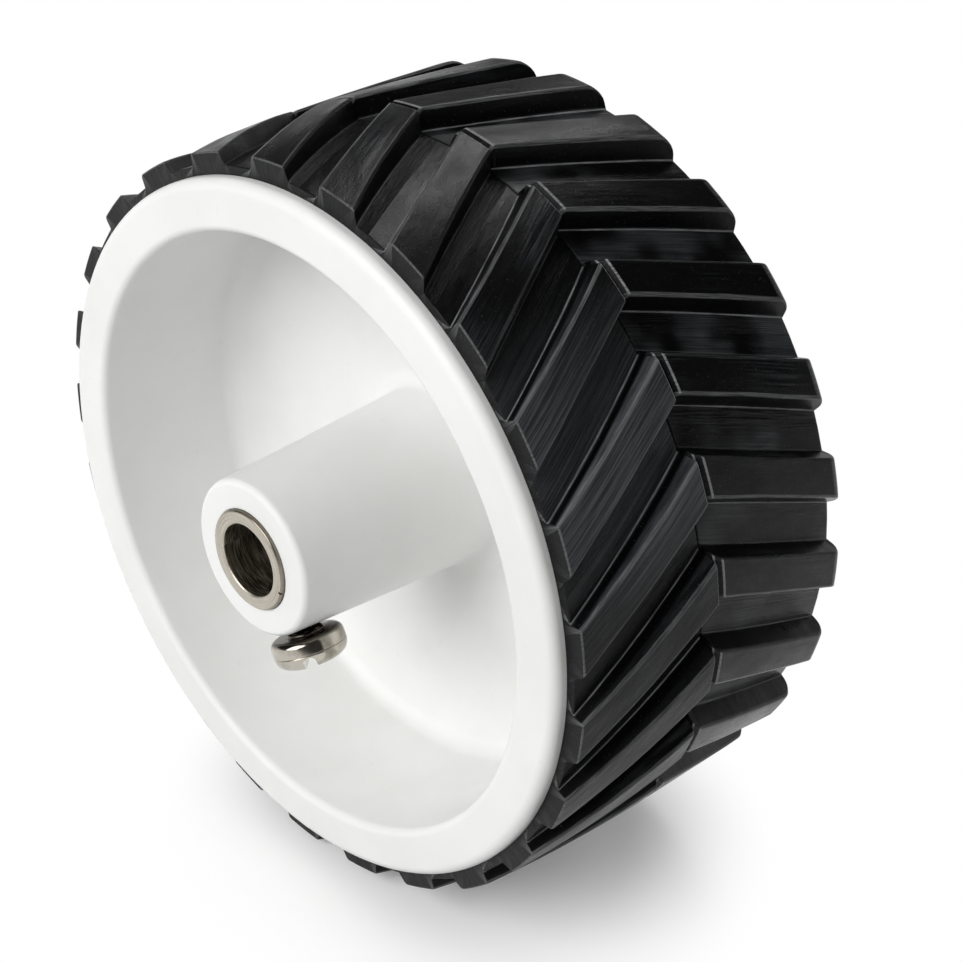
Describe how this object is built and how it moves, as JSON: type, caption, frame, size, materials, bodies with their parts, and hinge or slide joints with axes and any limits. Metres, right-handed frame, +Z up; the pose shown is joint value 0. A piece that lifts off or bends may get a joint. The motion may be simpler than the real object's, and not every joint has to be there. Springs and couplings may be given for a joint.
{
  "type": "robot wheel",
  "caption": "Robot drive wheel: white moulded hub with a long boss, a steel shaft bush held by a slotted clamp screw, and a black rubber tyre with a chevron tread.",
  "frame": {"origin": "the wheel's centre, on the bore's axis midway between the tyre's two sides", "axes": "Y along the axle with the boss towards -Y, Z up, X along the way the wheel rolls"},
  "size_m": [0.1, 0.0553, 0.1],
  "materials": {
    "white_plastic": "satin white moulding",
    "black_rubber": "satin black rubber with fine streaks",
    "nickel_steel": "turned, warm nickel grey",
    "bright_steel": "polished plating"
  },
  "bodies": {
    "wheel": {"hub": "white_plastic", "tyre": "black_rubber", "shaft_bush": "nickel_steel"},
    "screw": {"clamp_screw": "bright_steel"}
  },
  "joints": [
    {"name": "clamp_screw_travel", "type": "slide", "parent": "wheel", "child": "screw", "axis": [0.4384, 0, -0.8988], "range_m": [-0.00025, 0.0016]}
  ]
}
